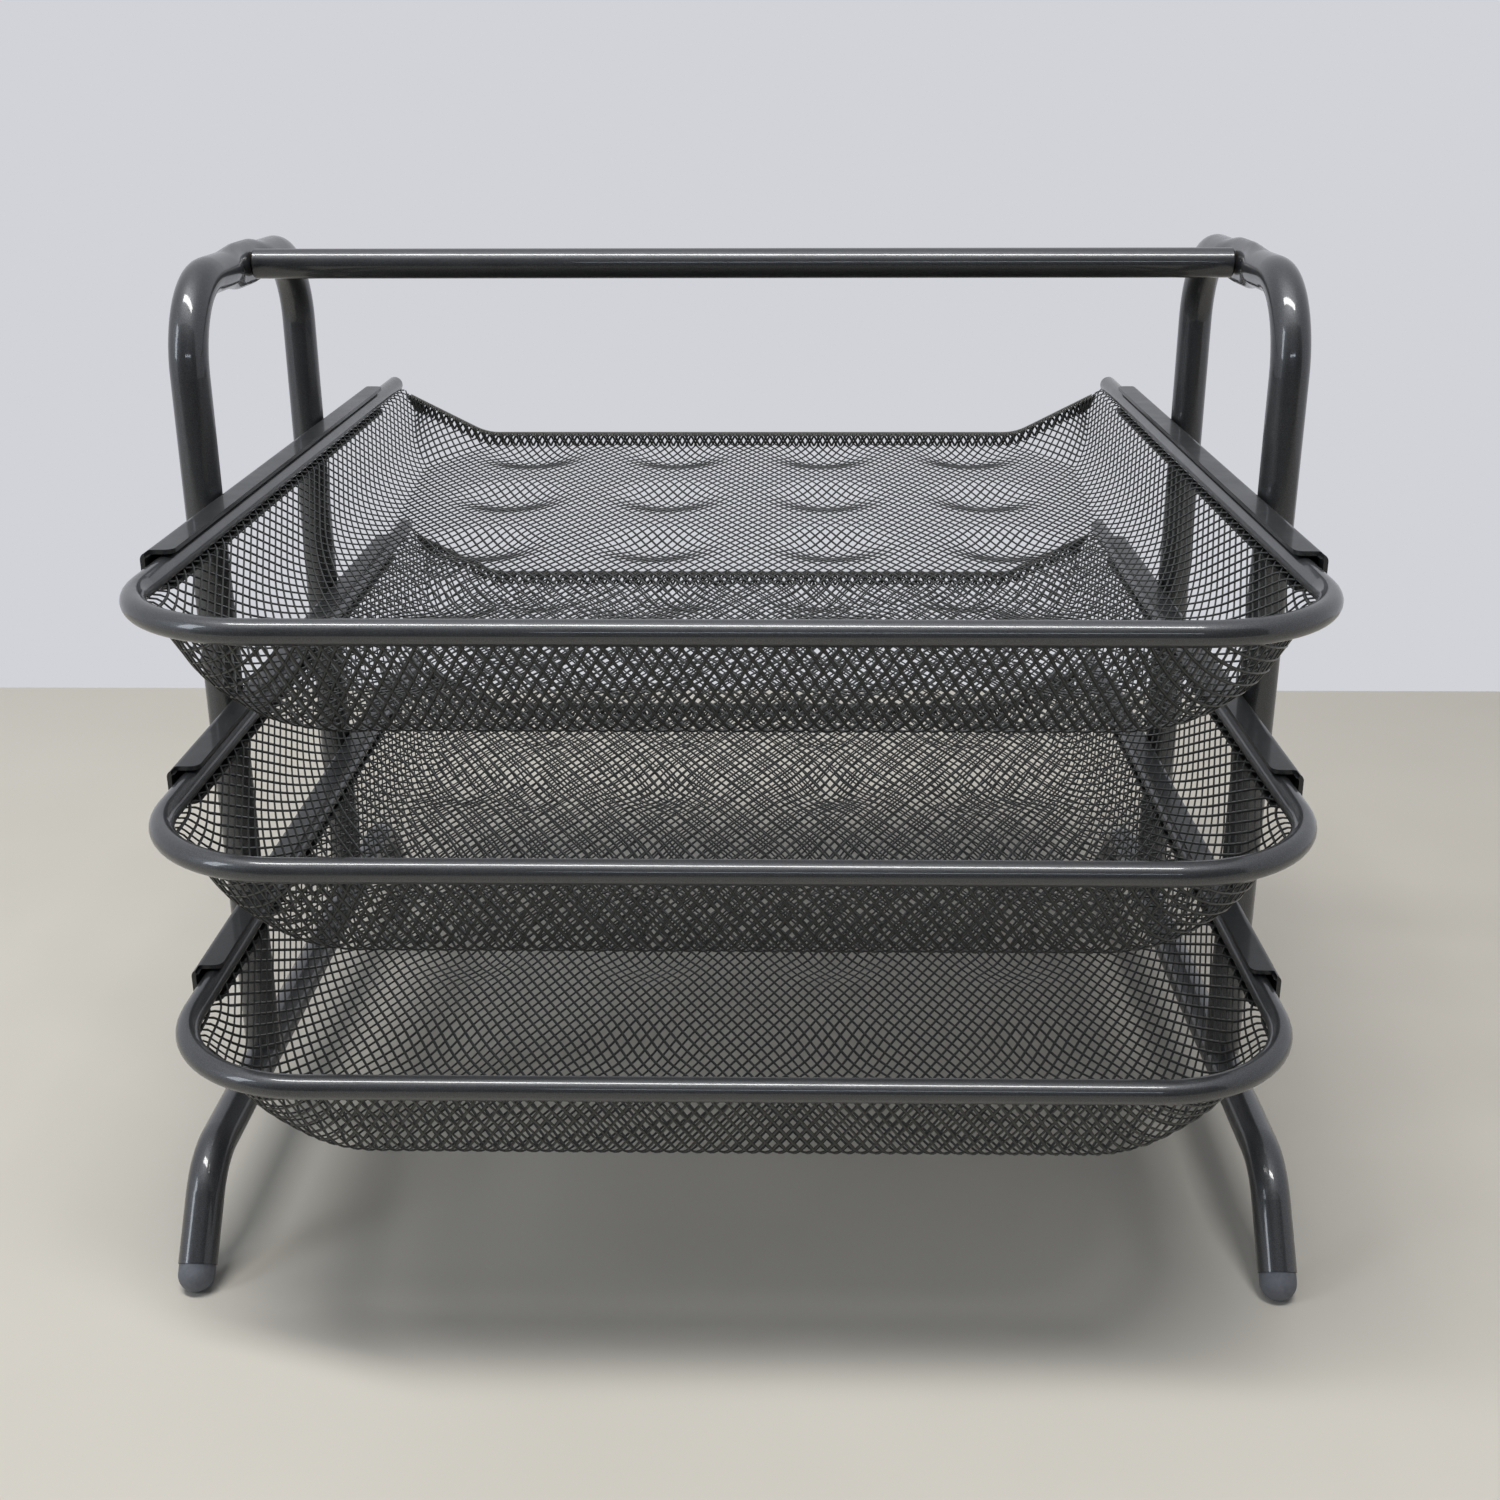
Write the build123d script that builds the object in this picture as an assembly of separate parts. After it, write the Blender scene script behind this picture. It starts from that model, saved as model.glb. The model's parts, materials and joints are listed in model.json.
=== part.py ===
from build123d import *
import math
import os

# A stack of three wire-mesh letter trays that slide in a frame of bent steel tube.
# Millimetres. +X is to the right, the front faces -Y, +Z is up.
# The origin is under the middle of the overall box, on the surface that the feet stand on.

# The sliding trays
tray_names = ["bottom", "middle", "top"]
tray_width = 295.0            # over the outside of the U-shaped rim
tray_length = 354.0           # from the front of the rim to its rear ends
rim_rod = 6.3                 # diameter of the rim's round rod
rim_corner = 38.0             # bend radius at the middle of the rod
tray_spacing = 58.8           # from one rim to the next
bottom_tray_height = 92.4     # middle of the lowest rim above the table

# The mesh basket under each rim
mesh_thickness = 0.8
basket_drop = 33.5            # from the middle of the rod to the underside of the floor
basket_lip = 1.0              # the mesh ends this far above the middle of the rod
wall_draft = 0.37             # how far the walls lean in, per unit of depth
floor_corner = 36.0           # plan radius of the walls' corners at the floor
floor_bend = 25.0             # radius between the walls and the floor
floor_rise = 8.5              # the floor climbs this much to the back edge
floor_rise_length = 300.0     # over this length

# The low back of the basket, with its flat edge strip
back_dip = 19.5               # the back edge is this far below the middle of the rod
back_dip_half = 108.0         # half the length of the low straight part
back_end_drop = 1.0           # where the slanted part meets the side walls
back_bend = 20.0              # radius between the low and the slanted part
strip_height = 1.6
strip_thickness = 0.8

# The rails that carry the rims
rail_length = 260.0
rail_middle_y = 8.5
rail_steel = 1.2
rail_flange = 7.6             # width of the flanges, over the outer wall
rail_bend = 2.0               # outer radius of the folds between the wall and the flanges
rail_setback = 3.0            # the top flange starts this far behind the rest
rail_front_radius = 2.5
rail_rear_radius = 3.0
clearance_under_rim = 0.3
clearance_over_rim = 0.7
clearance_beside_rim = 0.5

# The tube frame
tube = 11.0
tube_wall = 1.0
frame_middle_y = 12.0
leg_spacing = 123.0           # from the front leg to the rear leg
hoop_bend = 25.0              # radius of the hoop's two bends
hoop_top = 273.0              # middle of the tube where it runs over the top
base_height = 30.0            # middle of the base tube above the table
base_bend_spacing = 244.5     # between the corners where the base tube turns down
base_bend = 22.0
foot_slope = 50.0             # degrees below level

# The hoops are pressed flat where the handle meets them
flat_half_length = 22.0
flat_seat_half = 6.3          # pressed fully as far as this from the handle's axis
flat_squeeze = 1.75           # taken off each side of the tube
flat_bulge = 1.4              # added above and below
flat_stations = 15

# The handle bar, its inserts and screws
handle_tube = 9.0
handle_wall = 1.0
handle_chamfer = 0.5
insert_length = 15.0
screw_diameter = 4.0
screw_hole = 4.4
screw_reach = 12.0            # how far the screw goes into its insert
screw_head = 8.0
screw_head_height = 1.6
screw_head_edge = 0.7
recess_length = 4.4
recess_width = 0.9
recess_depth = 0.8

# The plastic foot caps
cap_diameter = 10.4
cap_collar = 2.5              # straight part outside the tube, before the dome
cap_stem_length = 9.0
cap_flat = 0.3                # cut off the dome where it stands

# Fits
weld_gap = 0.05               # between pieces that are welded together
press_gap = 0.02              # between a bore and what is pushed into it

# Sizes that follow from those above
rod_radius = rim_rod / 2
rod_x = tray_width / 2 - rod_radius
rod_front_y = -tray_length / 2 + rod_radius
rod_back_y = tray_length / 2 - rod_radius
tray_back_y = tray_length / 2
tube_radius = tube / 2
rail_inner_x = tray_width / 2 + clearance_beside_rim
rail_outer_x = rail_inner_x + rail_steel
rail_open_x = rail_outer_x - rail_flange
hoop_x = rail_outer_x + weld_gap + tube_radius
flat_face_x = hoop_x - tube_radius + flat_squeeze
handle_half = flat_face_x - weld_gap
margin = 5.0                  # how far a cutting shape runs past what it cuts


def tray_height(index):
    return bottom_tray_height + index * tray_spacing


def wall_inset(z):
    """Distance from the middle of the rod to the outer face of the mesh, at a height."""
    return rod_radius + weld_gap + (basket_lip - z) * wall_draft


def tray_plan(inset, corner, z):
    """Rounded at the front corners, and square behind the back plane."""
    half_width = rod_x - inset
    front = rod_front_y + inset
    back = tray_back_y + margin
    shape = Pos(0, (front + back) / 2) * Rectangle(2 * half_width, back - front)
    front_points = shape.vertices().sort_by(Axis.Y)[:2]
    return Pos(0, 0, z) * fillet(front_points, corner)


def tub(offset, top):
    """The space inside the basket's outer face, moved in by an offset."""
    floor = -basket_drop + offset
    top_corner = rim_corner - wall_inset(basket_lip) - offset
    upper = tray_plan(wall_inset(top) + offset, top_corner, top)
    lower = tray_plan(wall_inset(-basket_drop) + offset, floor_corner - offset, floor)
    body = loft([upper, lower], ruled=True)
    low_edges = body.edges().filter_by_position(Axis.Z, floor, floor)
    round_edges = low_edges.sort_by(Axis.Y)[:-1]
    return fillet(round_edges, floor_bend - offset)


def back_limit(offset, top):
    """What lies in front of the back plane and over the rising floor."""
    arc_radius = (floor_rise_length ** 2 + floor_rise ** 2) / (2 * floor_rise)
    start_y = tray_back_y - floor_rise_length
    back = tray_back_y - offset
    floor = -basket_drop + offset
    run = back - start_y
    arc_end = arc_radius - basket_drop - math.sqrt((arc_radius - offset) ** 2 - run ** 2)
    front = -tray_length / 2
    outline = [
        Line((front, floor), (start_y, floor)),
        TangentArc((start_y, floor), (back, arc_end), tangent=(1, 0)),
        Line((back, arc_end), (back, top)),
        Line((back, top), (front, top)),
        Line((front, top), (front, floor)),
    ]
    return extrude(Plane.YZ * make_face(outline), amount=tray_width / 2, both=True)


def basket_space(offset, top):
    return tub(offset, top) & back_limit(offset, top)


def back_opening(drop):
    """Outline of the low back in the X-Z plane, moved down by a drop."""
    top = basket_lip + margin
    half = rod_x
    points = [
        (-half, top),
        (-half, -back_end_drop - drop),
        (-back_dip_half, -back_dip - drop),
        (back_dip_half, -back_dip - drop),
        (half, -back_end_drop - drop),
        (half, top),
    ]
    shape = make_face(Polyline(*points, close=True))
    low_points = shape.vertices().sort_by(Axis.Y)[:2]
    return fillet(low_points, back_bend)


def upright(shape, back, thickness):
    """Stand an X-Z outline up, with its rear face at back."""
    return extrude(Plane.XZ.offset(-back) * shape, amount=thickness)


def basket():
    shell = basket_space(0, basket_lip) - basket_space(mesh_thickness, basket_lip + margin)
    mouth = upright(back_opening(0), tray_back_y + margin, mesh_thickness + 2 * margin)
    return shell - mouth


def edge_strip():
    band = back_opening(strip_height) - back_opening(0)
    strip = upright(band, tray_back_y - mesh_thickness - weld_gap, strip_thickness)
    return strip & tub(mesh_thickness + weld_gap, basket_lip)


def rim():
    path = FilletPolyline(
        (-rod_x, rod_back_y, 0),
        (-rod_x, rod_front_y, 0),
        (rod_x, rod_front_y, 0),
        (rod_x, rod_back_y, 0),
        radius=rim_corner,
    )
    body = swept(path, rod_radius)
    for side in (-1, 1):
        body += Pos(side * rod_x, rod_back_y, 0) * Sphere(rod_radius)
    return body


def swept(path, radius):
    start = Plane(origin=path @ 0, z_dir=path % 0)
    return sweep(start * Circle(radius), path=path)


def rail():
    """The right-hand channel, open towards the tray and made round a rod at height 0."""
    low = -rod_radius - clearance_under_rim - rail_steel
    high = rod_radius + clearance_over_rim + rail_steel
    front = rail_middle_y - rail_length / 2
    groove_width = rail_flange - rail_steel
    groove_height = high - low - 2 * rail_steel
    body = Pos(rail_open_x, front, low) * corner_box(rail_flange, rail_length, high - low)
    groove = corner_box(groove_width, rail_length, groove_height)
    body -= Pos(rail_open_x, front, low + rail_steel) * groove
    body = fillet(long_edges(body, rail_outer_x), rail_bend)
    body = fillet(long_edges(body, rail_inner_x), rail_bend - rail_steel)
    step = corner_box(groove_width, rail_setback, rail_steel)
    body -= Pos(rail_open_x, front, high - rail_steel) * step
    body = fillet(flange_corners(body)[:2], rail_front_radius)
    return fillet(flange_corners(body)[-2:], rail_rear_radius)


def corner_box(width, depth, height):
    """A box with its low left front corner at the origin."""
    return Box(width, depth, height, align=(Align.MIN, Align.MIN, Align.MIN))


def long_edges(body, x):
    """Edges that run the length of a rail at an X."""
    return body.edges().filter_by(Axis.Y).filter_by_position(Axis.X, x, x)


def flange_corners(body):
    """Upright edges on the open side of a rail, from the front to the rear."""
    upright_edges = body.edges().filter_by(Axis.Z)
    return upright_edges.filter_by_position(Axis.X, rail_open_x, rail_open_x).sort_by(Axis.Y)


def hoop_leg(front, radius):
    """One leg with its bend, up to where the pressed part starts. front is -1 or 1."""
    leg_y = frame_middle_y + front * leg_spacing / 2
    path = FilletPolyline(
        (0, leg_y, base_height),
        (0, leg_y, hoop_top),
        (0, frame_middle_y + front * flat_half_length, hoop_top),
        radius=hoop_bend,
    )
    return swept(path, radius)


def press_amount(distance):
    """1 where the hoop is pressed fully, fading to 0 where it is round."""
    fade = (abs(distance) - flat_seat_half) / (flat_half_length - flat_seat_half)
    return (1 + math.cos(math.pi * max(fade, 0))) / 2


def pressed_part(inset):
    """The short length of hoop that is squeezed from round to oval and back."""
    sections = []
    for station in range(flat_stations):
        place = 2 * station / (flat_stations - 1) - 1
        press = press_amount(place * flat_half_length)
        half_x = tube_radius - inset - flat_squeeze * press
        half_z = tube_radius - inset + flat_bulge * press
        origin = (0, frame_middle_y + place * flat_half_length, hoop_top)
        plane = Plane(origin=origin, x_dir=(0, 0, 1), z_dir=(0, 1, 0))
        is_end = station in (0, flat_stations - 1)
        sections.append(plane * (Circle(half_z) if is_end else Ellipse(half_z, half_x)))
    return loft(sections)


def hoop_solid(inset):
    radius = tube_radius - inset
    return hoop_leg(-1, radius) + pressed_part(inset) + hoop_leg(1, radius)


def on_side(side, shape):
    """Move a shape made in the middle plane out to the left or the right side frame."""
    return Pos(side * hoop_x, 0, 0) * shape


def along_x(radius, start, end):
    """A round bar along X at the handle's height."""
    middle = Pos((start + end) / 2, frame_middle_y, hoop_top)
    return middle * Rot(0, 90, 0) * Cylinder(radius, end - start)


def hoop():
    body = hoop_solid(0) - hoop_solid(tube_wall)
    saddle = Rot(90, 0, 0) * Cylinder(tube_radius + weld_gap, 2 * leg_spacing)
    body -= Pos(0, frame_middle_y, base_height) * saddle
    return body - along_x(screw_hole / 2, -tube, tube)


def foot_direction(front):
    """Unit vector down the sloping end of the base tube. front is -1 or 1."""
    slope = math.radians(foot_slope)
    return Vector(0, front * math.cos(slope), -math.sin(slope))


def tube_end(front):
    """Middle of the base tube's cut end, placed so that the cap's dome reaches the table."""
    dome_height = cap_diameter / 2 - cap_flat
    corner = Vector(0, frame_middle_y + front * base_bend_spacing / 2, base_height)
    down = foot_direction(front)
    run = (base_height - dome_height) / -down.Z
    return corner + down * (run - cap_collar)


def base_tube():
    corners = []
    for front in (-1, 1):
        corner_y = frame_middle_y + front * base_bend_spacing / 2
        corners.append((0, corner_y, base_height))
    path = FilletPolyline(tube_end(-1), corners[0], corners[1], tube_end(1), radius=base_bend)
    return swept(path, tube_radius) - swept(path, tube_radius - tube_wall)


def foot_cap(front):
    """A stem in the tube, a collar against its end and a dome cut flat at the table."""
    radius = cap_diameter / 2
    stem_radius = tube_radius - tube_wall - press_gap
    low = (Align.CENTER, Align.CENTER, Align.MIN)
    collar = Pos(0, 0, weld_gap) * Cylinder(radius, cap_collar - weld_gap, align=low)
    dome = Pos(0, 0, cap_collar) * Sphere(radius)
    stem = Pos(0, 0, -cap_stem_length) * Cylinder(stem_radius, cap_stem_length + cap_collar, align=low)
    dome &= Pos(0, 0, weld_gap) * Cylinder(radius, cap_diameter + cap_collar, align=low)
    body = Plane(origin=tube_end(front), z_dir=foot_direction(front)) * (collar + dome + stem)
    above_table = Box(tray_width, 2 * tray_length, base_height, align=low)
    return body & above_table


def handle_bar():
    outer = along_x(handle_tube / 2, -handle_half, handle_half)
    end_edges = outer.edges().filter_by(GeomType.CIRCLE)
    outer = chamfer(end_edges, handle_chamfer)
    return outer - along_x(handle_tube / 2 - handle_wall, -handle_half - margin, handle_half + margin)


def handle_insert():
    """A threaded plug pushed into the end of the handle bar."""
    radius = handle_tube / 2 - handle_wall - press_gap
    inner_end = handle_half - insert_length
    bore = along_x(screw_diameter / 2 + press_gap, inner_end - margin, handle_half + margin)
    return along_x(radius, inner_end, handle_half) - bore


def handle_screw():
    """Low round head in the pressed part of the hoop, with a plain cross recess."""
    seat = hoop_x + tube_radius - flat_squeeze + weld_gap
    head = along_x(screw_head / 2, seat, seat + screw_head_height)
    rim_edge = head.edges().filter_by(GeomType.CIRCLE).sort_by(Axis.X)[-1:]
    head = fillet(rim_edge, screw_head_edge)
    body = head + along_x(screw_diameter / 2, handle_half - screw_reach, seat + screw_head_height / 2)
    bar = Box(2 * recess_depth, recess_length, recess_width)
    recess = bar + Rot(90, 0, 0) * bar
    return body - Pos(seat + screw_head_height, frame_middle_y, hoop_top) * recess


def both_sides(shape):
    return Compound(children=[shape, mirror(shape, about=Plane.YZ)])


def all_nodes():
    nodes = {}
    tray_rim = rim()
    tray_basket = basket()
    tray_strip = edge_strip()
    right_rail = rail()
    left_rail = mirror(right_rail, about=Plane.YZ)
    for index, name in enumerate(tray_names):
        lift = Pos(0, 0, tray_height(index))
        nodes[name + "_tray_rim"] = lift * tray_rim
        nodes[name + "_tray_basket"] = lift * tray_basket
        nodes[name + "_tray_edge_strip"] = lift * tray_strip
        nodes["left_" + name + "_rail"] = lift * left_rail
        nodes["right_" + name + "_rail"] = lift * right_rail
    for side, side_name in ((-1, "left"), (1, "right")):
        nodes[side_name + "_hoop"] = on_side(side, hoop())
        nodes[side_name + "_base_tube"] = on_side(side, base_tube())
        for front, end_name in ((-1, "front"), (1, "rear")):
            nodes[end_name + "_" + side_name + "_foot_cap"] = on_side(side, foot_cap(front))
    nodes["handle_bar"] = handle_bar()
    nodes["handle_inserts"] = both_sides(handle_insert())
    nodes["handle_screws"] = both_sides(handle_screw())
    return nodes


os.makedirs("parts", exist_ok=True)
for node_name, node_shape in all_nodes().items():
    export_step(node_shape, "parts/" + node_name + ".step")
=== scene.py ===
import json
import math

import bpy
import numpy as np
from mathutils import Matrix, Vector


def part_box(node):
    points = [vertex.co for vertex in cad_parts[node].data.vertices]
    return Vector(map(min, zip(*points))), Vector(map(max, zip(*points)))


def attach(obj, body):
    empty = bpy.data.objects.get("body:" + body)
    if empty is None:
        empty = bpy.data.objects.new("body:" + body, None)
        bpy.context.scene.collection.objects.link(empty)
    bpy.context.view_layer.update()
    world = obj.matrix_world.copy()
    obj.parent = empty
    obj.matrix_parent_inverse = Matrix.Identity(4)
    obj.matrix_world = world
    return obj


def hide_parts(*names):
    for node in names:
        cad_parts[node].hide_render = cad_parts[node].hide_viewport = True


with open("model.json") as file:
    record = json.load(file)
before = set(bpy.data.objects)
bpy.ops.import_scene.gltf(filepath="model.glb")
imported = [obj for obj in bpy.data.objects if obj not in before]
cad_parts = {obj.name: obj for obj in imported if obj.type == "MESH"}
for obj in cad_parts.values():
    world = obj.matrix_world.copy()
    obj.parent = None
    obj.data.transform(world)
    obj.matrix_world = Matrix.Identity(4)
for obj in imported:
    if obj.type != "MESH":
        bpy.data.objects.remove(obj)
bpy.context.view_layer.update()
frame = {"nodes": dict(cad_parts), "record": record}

# The stack of wire-mesh letter trays: looks, light and camera. Metres.
# +X is to the right, the front faces -Y, +Z is up, as in the frame.

MM = 0.001
trays = ["bottom", "middle", "top"]

# Mesh sheet of a tray, in the flat before it is pressed
diamond_width = 3.6 * MM         # from one diamond to the next, across the tray
diamond_length = 6.75 * MM       # and from front to back
strand_width = 0.88 * MM
strand_thickness = 0.60 * MM
crossing_gap = 0.16 * MM         # the two directions of strands lie this far apart
tray_shift = 1.3 * MM            # the pattern starts this much further on in each next tray
corner_stretch = 1.2             # the sheet is drawn this much longer up the middle of a corner
mesh_split_y = 0.0               # the floor is in pieces, in front of and behind this line
rear_split_y = 150.0 * MM        # and from here back it is one piece with the hem
sheet_reach_x = 190.0 * MM       # no part of the flat sheet lies beyond these
sheet_reach_y = 230.0 * MM

# Wall of a tray, as inset from the middle of the rod and depth below it
floor_depth = 31.0 * MM
side_lean = 0.42                 # inset per unit of depth
side_bend = 24.0 * MM            # between wall and floor
front_lean = 0.46
front_bend = 9.0 * MM
wall_top_inset = 4.4 * MM
wall_top_depth = 3.9 * MM
lip_bend = 2.5 * MM              # the sheet curls outward here to meet the rod
lip_turn = math.radians(47)
lip_end = 0.9 * MM
rod_corner = 38.0 * MM           # bend radius of the rim
flat_corner = 52.7 * MM          # inset of the middle of the floor's round corner

# Floor: the rise to the back and the pressed dimples
rise = 6.0 * MM
rise_length = 300.0 * MM
gusset_slope = 0.3               # the walls' rear ends fall this much per unit of way to the front
gusset_blend = 0.6 * MM          # softness of the line where they meet the wall
dimple_depth = 3.6 * MM
dimple_half_x = 25.0 * MM
dimple_half_y = 26.0 * MM
dimple_fade = 3                  # the dimples die out within one part in this many of the wall
dimple_x = [-87 * MM, -29 * MM, 29 * MM, 87 * MM]
dimple_y = [-105 * MM, -39 * MM, 27 * MM, 93 * MM, 159 * MM]

# Low back with its hem
back_dip = 19.5 * MM
back_dip_half = 108.0 * MM
back_end_drop = 1.0 * MM
back_turn = 3.0 * MM             # softness of the turns in the upper edge
hem_height = 5.6 * MM
hem_radius = 0.85 * MM           # the sheet is folded over the steel strip with this radius
strip_proud = 0.7 * MM           # and the strip's edge shows this far above the fold
back_web_y = 0.45 * MM           # the sheet stands this far in front of the back plane
fold_slack = 0.4 * MM            # the folded layer may hang this far below the sheet's edge
edge_slack = 0.01 * MM

# Fineness of the shapes
profile_steps = 400              # stretches up the pressed wall
bend_steps = 24                  # stretches of its bend to the floor
lip_steps = 4
clip_steps = 14                  # halvings in the search for the sheet's edge
normal_step = 0.05 * MM
floor_parts = 2                  # stretches of a strand from one crossing to the next
hem_parts = 4

# Camera, from a pinhole camera fitted to the photograph
camera_place = (12.4 * MM, -562.5 * MM, 327.2 * MM)
camera_yaw = -0.0176
camera_pitch = 0.3574
camera_roll = -0.0030
camera_focal = 1805.9            # pixels of the 1500-pixel frame
frame_pixels = 1500
sensor = 36.0                    # millimetres

# Grain of the materials: noise scale in waves per metre, and how far it raises the surface
flake_scale = 5000.0
patch_scale = 90.0
patch_distortion = 0.4
peel_scale = 900.0
peel_height = 0.2 * MM
coat_roughness = 0.08
cloud_scale = 700.0
grain_scale = 4000.0
grain_height = 0.1 * MM
grain_strength = 0.25
plastic_roughness = 0.62

# Table, and the wall colour that is seen behind it and in reflections
table_back_y = 412 * MM
table_half = 1.3
table_scale = 6.0
table_dark = (0.66, 0.63, 0.565)
table_light = (0.70, 0.67, 0.605)
table_roughness = 0.55
wall_colour = (0.64, 0.65, 0.69)

# Light of the room: pale from behind and above, dark from the front
room_ahead = (0, 0.9, 0.45)
room_pale_from = 0.55
room_pale = (0.12, 0.125, 0.135)
room_dark = (0.05, 0.05, 0.05)

# Dark card behind the camera, on the table's front edge
flag_colour = (0.02, 0.02, 0.02)
flag_roughness = 0.9
flag_y = -1.0
flag_half = 1.4
flag_top = 1.4

# Lamps: place, width and height, watts and colour
lamp_target = (0, 0, 0.15)
lamps = {
    "overhead": ((-0.15, -0.46, 1.9), (1.6, 0.26), 32, (1.0, 0.99, 0.97)),
    "front_window": ((0.1, -0.97, 0.51), (0.53, 0.038), 0.6, (0.80, 0.88, 1.0)),
    "left_window": ((-1.5, -0.9, 0.9), (0.4, 0.9), 8, (0.85, 0.92, 1.0)),
}


def rim_of(tray):
    """Rod radius, middle height, half width at the rod's line, and its front and back line."""
    low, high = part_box(tray + "_tray_rim")
    radius = (high.z - low.z) / 2
    return {
        "radius": radius,
        "z": (high.z + low.z) / 2,
        "x": high.x - radius,
        "front": low.y + radius,
        "back": high.y,
    }


rod = rim_of("bottom")


def lip_points(slope):
    """The sheet's curled top edge, from the rod to the wall, as inset and depth."""
    lean = math.atan(slope)
    points = []
    for step in range(lip_steps + 1):
        angle = lean + lip_turn * step / lip_steps
        along = lip_bend * (math.sin(angle) - math.sin(lean))
        across = lip_bend * (math.cos(lean) - math.cos(angle))
        points.append((wall_top_inset - across, wall_top_depth - along))
    inset, depth = points[-1]
    end_angle = lean + lip_turn
    points.append((inset - lip_end * math.sin(end_angle), depth - lip_end * math.cos(end_angle)))
    return points


def wall_profile(slope, bend):
    """Inset and height of the sheet from the edge of the flat floor up to the rod, evenly spaced."""
    lean = math.atan(slope)
    turn = math.pi / 2 - lean
    foot = wall_top_inset + slope * (floor_depth - wall_top_depth)
    floor_edge = foot + bend * math.tan(turn / 2)
    points = []
    for step in range(bend_steps + 1):
        angle = turn * step / bend_steps
        points.append((floor_edge - bend * math.sin(angle), floor_depth - bend * (1 - math.cos(angle))))
    points = np.array(points + lip_points(slope))
    length = np.concatenate([[0], np.cumsum(np.linalg.norm(np.diff(points, axis=0), axis=1))])
    even = np.linspace(0, length[-1], profile_steps)
    inset = np.interp(even, length, points[:, 0])
    height = -np.interp(even, length, points[:, 1])
    return inset, height, length[-1], floor_edge


side_insets, side_heights, side_length, side_edge = wall_profile(side_lean, side_bend)
front_insets, front_heights, front_length, front_edge = wall_profile(front_lean, front_bend)


def between(side, front, angle):
    """From the side's value to the front's, by the angle round the corner."""
    return side + (front - side) * np.sin(angle) ** 2


def reach_at(angle):
    """Flat length of the wall at an angle round the corner, 0 at the side and a half pi in front."""
    straight = between(side_length, front_length, angle)
    return straight * (1 - (1 - 1 / corner_stretch) * np.sin(2 * angle) ** 2)


def sheet_zone(x, y):
    """Where a point of the flat sheet lies: over from the corner, angle round it and share up the wall."""
    over_x = np.abs(x) - (rod["x"] - flat_corner)
    over_y = (rod["front"] + flat_corner) - y
    angle = np.arctan2(np.maximum(over_y, 0), np.maximum(over_x, 0))
    angle = np.where((over_x <= 0) & (over_y <= 0), 0, angle)
    distance = np.hypot(np.maximum(over_x, 0), np.maximum(over_y, 0))
    floor_radius = flat_corner - between(side_edge, front_edge, angle)
    share = (distance - floor_radius) / reach_at(angle)
    return over_x, over_y, angle, share


def dimples(x, y):
    """Depth of the pressed dimples."""
    drop = np.zeros_like(x)
    for centre_x in dimple_x:
        for centre_y in dimple_y:
            far = np.hypot((x - centre_x) / dimple_half_x, (y - centre_y) / dimple_half_y)
            drop += np.where(far < 1, dimple_depth * (1 + np.cos(np.pi * np.minimum(far, 1))) / 2, 0)
    return drop


def floor_height(y):
    """Height of the floor, which rises to the back in an arc."""
    arc = (rise_length ** 2 + rise ** 2) / (2 * rise)
    run = np.clip(y - (rod["back"] - rise_length), 0, rise_length)
    return -floor_depth + arc - np.sqrt(arc ** 2 - run ** 2)


def soft_max(first, second):
    """The larger of two heights, rounded where they meet."""
    return (first + second + np.sqrt((first - second) ** 2 + gusset_blend ** 2)) / 2


def press(x, y):
    """Takes points of the flat sheet to the pressed tray, with the rod's middle at height 0."""
    over_x, over_y, angle, share = sheet_zone(x, y)
    up = np.clip(share, 0, 1)
    level = up * (profile_steps - 1)
    steps = np.arange(profile_steps)
    inset = between(np.interp(level, steps, side_insets), np.interp(level, steps, front_insets), angle)
    height = between(np.interp(level, steps, side_heights), np.interp(level, steps, front_heights), angle)
    centre = flat_corner + (rod_corner - flat_corner) * up
    radius = centre - inset
    lead = flat_corner - centre
    arc = radius * np.pi / 2
    along = angle / (np.pi / 2) * (2 * lead + arc)
    theta = np.clip((along - lead) / radius, 0, np.pi / 2)
    corner_x = rod["x"] - centre + radius * np.cos(theta) - np.clip(along - lead - arc, 0, None)
    corner_y = rod["front"] + centre - radius * np.sin(theta) + np.clip(lead - along, 0, None)
    in_corner = (over_x > 0) & (over_y > 0)
    wall_x = np.where(over_x > 0, rod["x"] - inset, np.abs(x))
    wall_y = np.where(over_y > 0, rod["front"] + inset, y)
    px = np.where(share <= 0, np.abs(x), np.where(in_corner, corner_x, wall_x))
    py = np.where(share <= 0, y, np.where(in_corner, corner_y, wall_y))
    pz = np.where(share <= 0, -floor_depth, height)
    gusset = back_top(px) - hem_height - gusset_slope * (rod["back"] - back_web_y - py)
    pz = soft_max(np.maximum(pz, floor_height(py)), gusset)
    pz = pz - dimples(x, y) * np.clip(1 - share * dimple_fade, 0, 1)
    return np.stack([np.copysign(px, x), py, pz], axis=-1)


def sheet_inside(x, y):
    """Positive on the sheet in front of the rear split, 0 at its edge."""
    share = sheet_zone(x, y)[3]
    return np.minimum((1 - share) * side_length, rear_split_y - y)


def back_top(x):
    """Height of the back's upper edge, with soft turns between the low and the slanted parts."""
    slope = (back_dip - back_end_drop) / (rod["x"] - back_dip_half)
    past = np.abs(x) - back_dip_half
    return -back_dip + slope * (past + np.sqrt(past ** 2 + back_turn ** 2)) / 2


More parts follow.
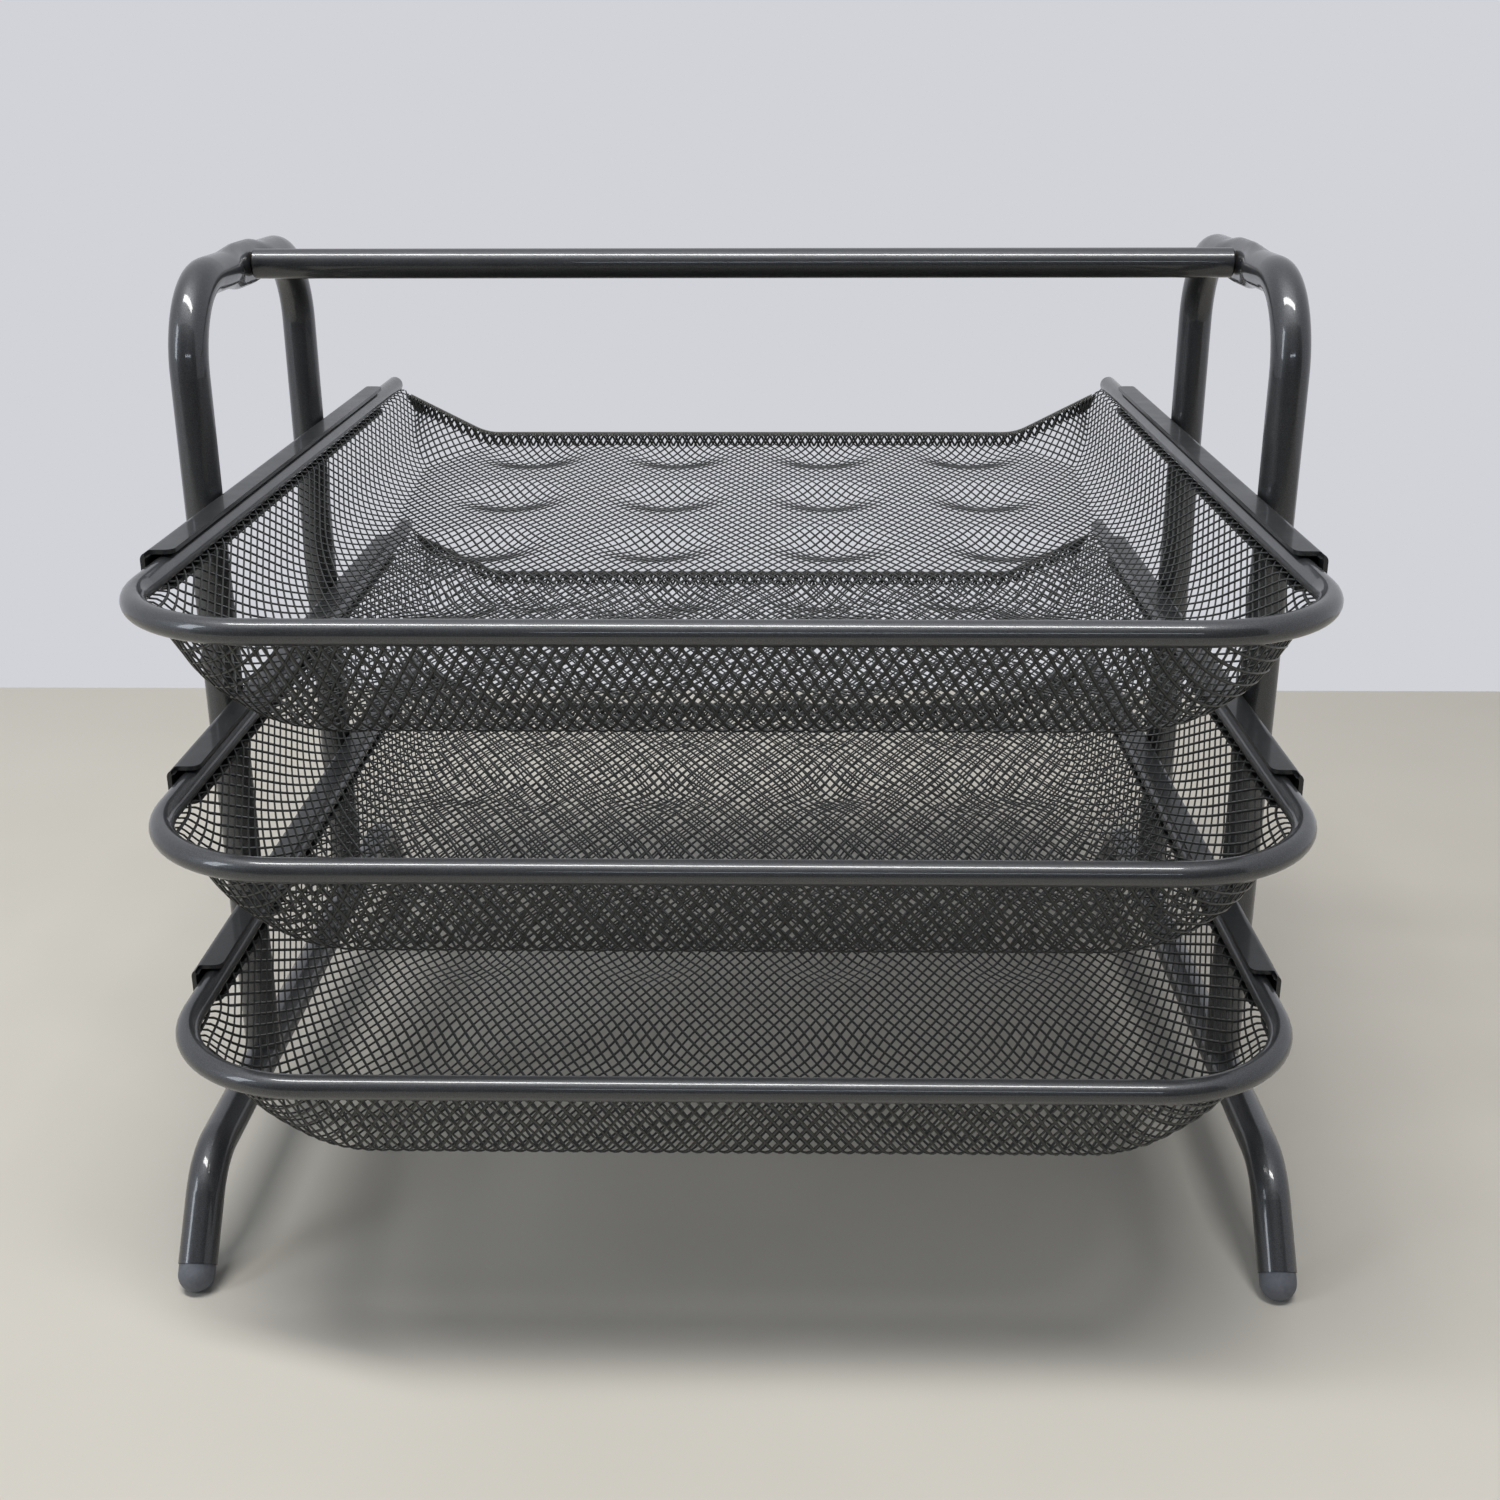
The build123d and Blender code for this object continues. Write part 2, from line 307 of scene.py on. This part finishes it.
def fold_hem(x, down):
    """Takes points of the flat hem over the strip: down the back where down is positive, else the front."""
    angle = np.clip(down / hem_radius, -math.pi / 2, math.pi / 2)
    straight = np.maximum(np.abs(down) - hem_radius * math.pi / 2, 0)
    y = rod["back"] - back_web_y - hem_radius * (1 - np.sin(angle))
    z = back_top(x) - strip_proud - hem_radius * (1 - np.cos(angle)) - straight
    return np.stack([x, y, z], axis=-1)


back_line = rod["back"] - back_web_y
hem_rise = hem_height - strip_proud + (math.pi / 2 - 1) * hem_radius
hem_end = back_line + 2 * hem_rise


def press_rear(x, y):
    """As press, and on past the back line, up the back and over the strip."""
    edge = press(x, np.full_like(x, back_line))
    fold = fold_hem(edge[..., 0], hem_rise - (y - back_line))
    return np.where((y > back_line)[..., None], fold, press(x, y))


def rear_inside(x, y):
    """Positive on the sheet behind the rear split, its lip and the layer folded over it."""
    edge = press(x, np.full_like(x, back_line))
    above = press_rear(x, y)[..., 2] - edge[..., 2] + fold_slack
    on_wall = (1 - sheet_zone(x, y)[3]) * side_length
    on_lip = np.where(y > back_line, np.minimum(above, hem_end + edge_slack - y), 1)
    return np.minimum(np.minimum(on_wall, on_lip), y - rear_split_y)


def normals_of(lift, x, y):
    """Directions square to the pressed sheet."""
    along_x = lift(x + normal_step, y) - lift(x - normal_step, y)
    along_y = lift(x, y + normal_step) - lift(x, y - normal_step)
    normal = np.cross(along_x, along_y)
    return normal / np.maximum(np.linalg.norm(normal, axis=-1, keepdims=True), 1e-15)


def clip_point(inside, x0, y0, x1, y1):
    """The point between an inside and an outside point where the sheet ends."""
    low = np.zeros_like(x0)
    high = np.ones_like(x0)
    for _ in range(clip_steps):
        middle = (low + high) / 2
        good = inside(x0 + (x1 - x0) * middle, y0 + (y1 - y0) * middle) > 0
        low = np.where(good, middle, low)
        high = np.where(good, high, middle)
    return x0 + (x1 - x0) * low, y0 + (y1 - y0) * low


def strand_family(inside, low_y, nodes_x, nodes_y, phase, direction):
    """Points behind low_y and the pairs of them that strands of one direction join, clipped at the edge."""
    n, m = np.meshgrid(nodes_x, nodes_y, indexing="ij")
    x = ((n + m) * diamond_width / 2 + phase[0]).ravel()
    y = ((n - m) * diamond_length / 2 + phase[1]).ravel()
    near = (np.abs(x) < sheet_reach_x) & (np.abs(y) < sheet_reach_y) & (y > low_y)
    within = np.zeros(len(x), dtype=bool)
    within[near] = inside(x[near], y[near]) > 0
    index = np.arange(len(x)).reshape(n.shape)
    first = (index[:, :-1] if direction == 0 else index[:-1, :]).ravel()
    second = (index[:, 1:] if direction == 0 else index[1:, :]).ravel()
    both = within[first] & within[second]
    one = within[first] != within[second]
    start = np.where(within[first[one]], first[one], second[one])
    end = np.where(within[first[one]], second[one], first[one])
    clipped = clip_point(inside, x[start], y[start], x[end], y[end])
    clip_index = len(x) + np.arange(len(start))
    forward = within[first[one]]
    x = np.concatenate([x, clipped[0]])
    y = np.concatenate([y, clipped[1]])
    pairs = np.concatenate([
        np.stack([first[both], second[both]], axis=1),
        np.stack([np.where(forward, start, clip_index), np.where(forward, clip_index, start)], axis=1),
    ])
    used, compact = np.unique(pairs, return_inverse=True)
    return x[used], y[used], compact.reshape(pairs.shape)


def strand_rings(lift, x, y, pairs, offset):
    """Four points round each strand at each node."""
    place = lift(x, y)
    normal = normals_of(lift, x, y)
    tangent = np.zeros_like(place)
    step = place[pairs[:, 1]] - place[pairs[:, 0]]
    step /= np.maximum(np.linalg.norm(step, axis=1, keepdims=True), 1e-9)
    np.add.at(tangent, pairs[:, 0], step)
    np.add.at(tangent, pairs[:, 1], step)
    tangent /= np.maximum(np.linalg.norm(tangent, axis=1, keepdims=True), 1e-9)
    side = np.cross(normal, tangent)
    side /= np.maximum(np.linalg.norm(side, axis=1, keepdims=True), 1e-9)
    middle = place + normal * offset
    return np.stack([
        middle + side * strand_width / 2,
        middle + normal * strand_thickness / 2,
        middle - side * strand_width / 2,
        middle - normal * strand_thickness / 2,
    ], axis=1)


def mesh_piece(name, groups):
    """One object from several groups of rings and the pairs of rings that strands join."""
    vertices = []
    faces = []
    base = 0
    for rings, pairs in groups:
        used, compact = np.unique(pairs, return_inverse=True)
        compact = compact.reshape(pairs.shape)
        vertices.append(rings[used].reshape(-1, 3))
        for corner in range(4):
            after = (corner + 1) % 4
            faces.append(np.stack([
                base + compact[:, 0] * 4 + corner,
                base + compact[:, 0] * 4 + after,
                base + compact[:, 1] * 4 + after,
                base + compact[:, 1] * 4 + corner,
            ], axis=1))
        base += len(used) * 4
    vertices = np.concatenate(vertices)
    faces = np.concatenate(faces)
    data = bpy.data.meshes.new(name)
    data.vertices.add(len(vertices))
    data.vertices.foreach_set("co", vertices.astype(np.float32).ravel())
    data.loops.add(faces.size)
    data.loops.foreach_set("vertex_index", faces.astype(np.int32).ravel())
    data.polygons.add(len(faces))
    data.polygons.foreach_set("loop_start", np.arange(0, faces.size, 4, dtype=np.int32))
    data.polygons.foreach_set("use_smooth", np.ones(len(faces), dtype=bool))
    data.update(calc_edges=True)
    data.validate()
    piece = bpy.data.objects.new(name, data)
    bpy.context.scene.collection.objects.link(piece)
    return piece


def weave(inside, lift, low_y, phase, parts):
    """Both families of strands over a sheet, each strand in parts: a list of place, rings and pairs."""
    count = int(sheet_reach_x / diamond_width + sheet_reach_y / diamond_length) + 2
    steps = np.arange(-count, count + 1)
    fine = np.arange(-count * parts, count * parts + 1) / parts
    families = []
    for direction in (0, 1):
        nodes = (steps, fine) if direction == 0 else (fine, steps)
        x, y, pairs = strand_family(inside, low_y, *nodes, phase, direction)
        offset = (0.5 - direction) * crossing_gap
        rings = strand_rings(lift, x, y, pairs, offset)
        middle = np.stack([x, y], axis=1)[pairs].mean(axis=1)
        families.append((middle, rings, pairs))
    return families


def sheet_region(middle):
    """Number of the piece that a stretch of strand belongs to."""
    x, y = middle[:, 0], middle[:, 1]
    over_x, over_y, angle, share = sheet_zone(x, y)
    region = np.where(y < mesh_split_y, 0, 1)
    side = (share > 0) & (angle < np.pi / 4) & (over_x > 0)
    region = np.where(side & (x < 0), 2, region)
    region = np.where(side & (x > 0), 3, region)
    return np.where((share > 0) & ((over_x <= 0) | (angle >= np.pi / 4)), 4, region)


def build_tray_mesh(tray, number):
    """All mesh pieces of one tray, in place of its plain shell."""
    phase = (number * tray_shift, hem_end % (diamond_length / 2))
    z = rim_of(tray)["z"]

    def pressed(x, y):
        return press(x, y) + np.array([0, 0, z])

    def pressed_rear(x, y):
        return press_rear(x, y) + np.array([0, 0, z])

    families = weave(sheet_inside, pressed, -sheet_reach_y, phase, floor_parts)
    names = ["floor_front", "floor_rear", "left_wall", "right_wall", "front_wall"]
    for number_in_tray, part in enumerate(names):
        groups = []
        for middle, rings, pairs in families:
            groups.append((rings, pairs[sheet_region(middle) == number_in_tray]))
        finish_mesh(mesh_piece(f"{tray}_mesh_{part}", groups), tray)
    rear = weave(rear_inside, pressed_rear, rear_split_y, phase, hem_parts)
    groups = [(rings, pairs) for _, rings, pairs in rear]
    finish_mesh(mesh_piece(f"{tray}_mesh_back_hem", groups), tray)


def finish_mesh(piece, tray):
    piece.data.materials.append(mesh_paint)
    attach(piece, tray + "_tray")
    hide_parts(tray + "_tray_basket")


def new_material(name):
    material = bpy.data.materials.new(name)
    material.use_nodes = True
    tree = material.node_tree
    shader = tree.nodes["Principled BSDF"]
    return material, tree, shader


def add_noise(tree, scale, detail, distortion=0.0):
    coords = tree.nodes.new("ShaderNodeTexCoord")
    noise = tree.nodes.new("ShaderNodeTexNoise")
    noise.inputs["Scale"].default_value = scale
    noise.inputs["Detail"].default_value = detail
    noise.inputs["Distortion"].default_value = distortion
    tree.links.new(coords.outputs["Object"], noise.inputs["Vector"])
    return noise


def add_ramp(tree, source, stops):
    ramp = tree.nodes.new("ShaderNodeValToRGB")
    elements = ramp.color_ramp.elements
    while len(elements) < len(stops):
        elements.new(0.5)
    for element, (place, colour) in zip(elements, stops):
        element.position = place
        element.color = (*colour, 1)
    tree.links.new(source, ramp.inputs["Fac"])
    return ramp


def add_bump(tree, shader, source, strength, distance):
    bump = tree.nodes.new("ShaderNodeBump")
    bump.inputs["Strength"].default_value = strength
    bump.inputs["Distance"].default_value = distance
    tree.links.new(source, bump.inputs["Height"])
    tree.links.new(bump.outputs["Normal"], shader.inputs["Normal"])


def metal_paint(name, dark, light, metallic, rough_low, rough_high, coat, peel):
    """Dark metallic paint: fine flakes in the colour, soft patches in the gloss, faint orange peel."""
    material, tree, shader = new_material(name)
    flakes = add_noise(tree, flake_scale, 2.0)
    colour = add_ramp(tree, flakes.outputs["Fac"], [(0.38, dark), (0.66, light)])
    tree.links.new(colour.outputs["Color"], shader.inputs["Base Color"])
    patches = add_noise(tree, patch_scale, 3.0, patch_distortion)
    rough = tree.nodes.new("ShaderNodeMapRange")
    rough.inputs["From Min"].default_value = 0.3
    rough.inputs["From Max"].default_value = 0.7
    rough.inputs["To Min"].default_value = rough_low
    rough.inputs["To Max"].default_value = rough_high
    tree.links.new(patches.outputs["Fac"], rough.inputs["Value"])
    tree.links.new(rough.outputs["Result"], shader.inputs["Roughness"])
    peel_noise = add_noise(tree, peel_scale, 2.0)
    add_bump(tree, shader, peel_noise.outputs["Fac"], peel, peel_height)
    shader.inputs["Metallic"].default_value = metallic
    shader.inputs["Coat Weight"].default_value = coat
    shader.inputs["Coat Roughness"].default_value = coat_roughness
    return material


def plastic(name, dark, light):
    """Matt moulded plastic with a fine grain."""
    material, tree, shader = new_material(name)
    clouds = add_noise(tree, cloud_scale, 4.0)
    colour = add_ramp(tree, clouds.outputs["Fac"], [(0.3, dark), (0.7, light)])
    tree.links.new(colour.outputs["Color"], shader.inputs["Base Color"])
    grain = add_noise(tree, grain_scale, 3.0)
    add_bump(tree, shader, grain.outputs["Fac"], grain_strength, grain_height)
    shader.inputs["Roughness"].default_value = plastic_roughness
    return material


tube_paint = metal_paint(
    "tube_paint", (0.046, 0.048, 0.052), (0.090, 0.093, 0.098),
    metallic=0.85, rough_low=0.42, rough_high=0.52, coat=0.8, peel=0.05,
)
rim_paint = metal_paint(
    "rim_paint", (0.048, 0.050, 0.054), (0.092, 0.095, 0.100),
    metallic=0.85, rough_low=0.42, rough_high=0.52, coat=0.8, peel=0.04,
)
rail_paint = metal_paint(
    "rail_paint", (0.032, 0.034, 0.035), (0.062, 0.064, 0.066),
    metallic=0.8, rough_low=0.45, rough_high=0.6, coat=0.4, peel=0.12,
)
mesh_paint = metal_paint(
    "mesh_paint", (0.036, 0.038, 0.036), (0.068, 0.070, 0.067),
    metallic=0.75, rough_low=0.42, rough_high=0.55, coat=0.35, peel=0.05,
)
# The strip is painted far paler than the other metal: a painted highlight, for the pale line along the top
# of the back hem.
strip_paint = metal_paint(
    "strip_paint", (0.30, 0.30, 0.28), (0.42, 0.42, 0.39),
    metallic=0.6, rough_low=0.35, rough_high=0.45, coat=0.5, peel=0.05,
)
screw_steel = metal_paint(
    "screw_steel", (0.18, 0.18, 0.19), (0.3, 0.3, 0.31),
    metallic=1.0, rough_low=0.25, rough_high=0.35, coat=0.0, peel=0.05,
)
insert_brass = metal_paint(
    "insert_brass", (0.55, 0.42, 0.2), (0.72, 0.58, 0.3),
    metallic=1.0, rough_low=0.3, rough_high=0.4, coat=0.0, peel=0.05,
)
cap_plastic = plastic("cap_plastic", (0.12, 0.13, 0.155), (0.155, 0.165, 0.19))

slot_materials = {
    "tube_paint": tube_paint,
    "rim_paint": rim_paint,
    "rail_paint": rail_paint,
    "mesh_paint": mesh_paint,
    "strip_paint": strip_paint,
    "cap_plastic": cap_plastic,
    "screw_steel": screw_steel,
    "insert_brass": insert_brass,
}


def paint_nodes():
    """Gives each carried-over CAD node the material of its slot."""
    for subpart in frame["record"]["subparts"]:
        node = frame["nodes"][subpart["node"]]
        material = slot_materials[subpart["material_slot"]]
        for slot in node.material_slots:
            slot.material = material


def area_light(name, place, size, power, colour):
    data = bpy.data.lights.new(name, "AREA")
    data.shape = "RECTANGLE"
    data.size, data.size_y = size
    data.energy = power
    data.color = colour
    lamp = bpy.data.objects.new(name, data)
    lamp.location = place
    direction = Vector(lamp_target) - Vector(place)
    lamp.rotation_euler = direction.to_track_quat("-Z", "Y").to_euler()
    bpy.context.scene.collection.objects.link(lamp)


def flat_sheet(name, corners, material):
    """A four-cornered sheet for the set."""
    data = bpy.data.meshes.new(name)
    data.from_pydata(corners, [], [(0, 1, 2, 3)])
    data.materials.append(material)
    sheet = bpy.data.objects.new(name, data)
    bpy.context.scene.collection.objects.link(sheet)
    return sheet


def build_table():
    material, tree, shader = new_material("table_top")
    clouds = add_noise(tree, table_scale, 4.0)
    colour = add_ramp(tree, clouds.outputs["Fac"], [(0.3, table_dark), (0.7, table_light)])
    tree.links.new(colour.outputs["Color"], shader.inputs["Base Color"])
    shader.inputs["Roughness"].default_value = table_roughness
    front = [(-table_half, flag_y, 0), (table_half, flag_y, 0)]
    back = [(table_half, table_back_y, 0), (-table_half, table_back_y, 0)]
    table = flat_sheet("table", front + back, material)


def build_world():
    """The wall colour for what the camera, reflections and clear things show; elsewhere the room's light."""
    world = bpy.data.worlds.new("studio")
    world.use_nodes = True
    tree = world.node_tree
    background = tree.nodes["Background"]
    rays = tree.nodes.new("ShaderNodeLightPath")
    coords = tree.nodes.new("ShaderNodeTexCoord")
    toward = tree.nodes.new("ShaderNodeVectorMath")
    toward.operation = "DOT_PRODUCT"
    toward.inputs[1].default_value = room_ahead
    tree.links.new(coords.outputs["Generated"], toward.inputs[0])
    room = add_ramp(tree, toward.outputs["Value"], [(0.0, room_dark), (room_pale_from, room_pale)])
    seen = rays.outputs["Is Camera Ray"]
    for kind in ("Is Transmission Ray", "Is Glossy Ray"):
        either = tree.nodes.new("ShaderNodeMath")
        either.operation = "MAXIMUM"
        tree.links.new(seen, either.inputs[0])
        tree.links.new(rays.outputs[kind], either.inputs[1])
        seen = either.outputs[0]
    mix = tree.nodes.new("ShaderNodeMix")
    mix.data_type = "RGBA"
    mix.inputs["B"].default_value = (*wall_colour, 1)
    tree.links.new(room.outputs["Color"], mix.inputs["A"])
    tree.links.new(seen, mix.inputs["Factor"])
    tree.links.new(mix.outputs["Result"], background.inputs["Color"])
    bpy.context.scene.world = world


def build_flag():
    """The dark card. It keeps the fronts of bars and strands dark, as the real room does."""
    cloth, _, shader = new_material("flag_cloth")
    shader.inputs["Base Color"].default_value = (*flag_colour, 1)
    shader.inputs["Roughness"].default_value = flag_roughness
    foot = [(-flag_half, flag_y, 0), (flag_half, flag_y, 0)]
    top = [(flag_half, flag_y, flag_top), (-flag_half, flag_y, flag_top)]
    card = flat_sheet("front_flag", foot + top, cloth)
    card.visible_camera = False


def build_lights():
    for name, (place, size, power, colour) in lamps.items():
        area_light(name, place, size, power, colour)


def build_camera():
    data = bpy.data.cameras.new("camera")
    data.sensor_width = sensor
    data.lens = camera_focal * sensor / frame_pixels
    data.clip_start = 0.01
    data.clip_end = 50
    camera = bpy.data.objects.new("camera", data)
    ahead = Vector((
        math.sin(camera_yaw) * math.cos(camera_pitch),
        math.cos(camera_yaw) * math.cos(camera_pitch),
        -math.sin(camera_pitch),
    ))
    level = Vector((math.cos(camera_yaw), -math.sin(camera_yaw), 0))
    up = level.cross(ahead)
    right = level * math.cos(camera_roll) + up * math.sin(camera_roll)
    up = up * math.cos(camera_roll) - level * math.sin(camera_roll)
    turn = Matrix((right, up, -ahead)).transposed().to_4x4()
    camera.matrix_world = Matrix.Translation(camera_place) @ turn
    bpy.context.scene.collection.objects.link(camera)
    bpy.context.scene.camera = camera


bpy.context.scene.view_settings.view_transform = "Standard"
build_camera()
build_world()
build_lights()
build_flag()
build_table()
paint_nodes()
for tray_number, tray_name in enumerate(trays):
    build_tray_mesh(tray_name, tray_number)

bpy.context.view_layer.update()
